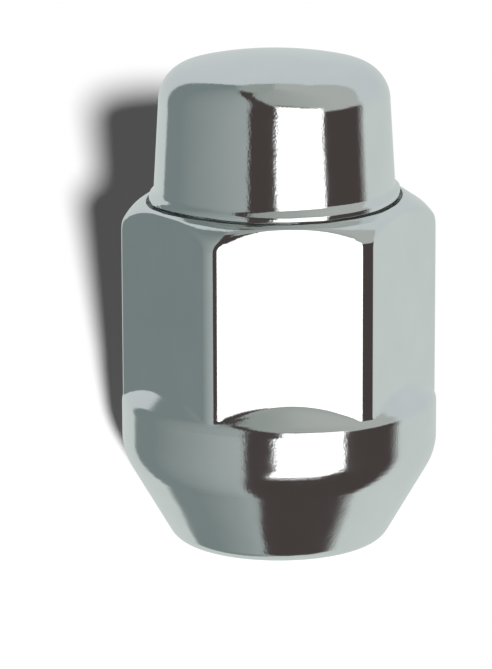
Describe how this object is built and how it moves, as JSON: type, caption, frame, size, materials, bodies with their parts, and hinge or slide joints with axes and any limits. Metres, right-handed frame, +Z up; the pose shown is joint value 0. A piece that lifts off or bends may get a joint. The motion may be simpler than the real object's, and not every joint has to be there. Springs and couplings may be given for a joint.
{
  "type": "lug nut",
  "caption": "Closed-end lug nut with a hexagon, a round bulge, a conical seat and a welded domed cap over the stud hole.",
  "frame": {"origin": "centre of the base ring at the small end of the cone, on the nut's axis", "axes": "+Z up the nut's axis, from the conical seat to the domed cap; a flat of the hexagon faces -Y and a corner points along +X"},
  "size_m": [0.022, 0.022, 0.0344],
  "materials": {
    "nut_body": "polished",
    "end_cap": "polished"
  },
  "bodies": {
    "root": {"nut_body": "nut_body", "end_cap": "end_cap"}
  },
  "joints": []
}
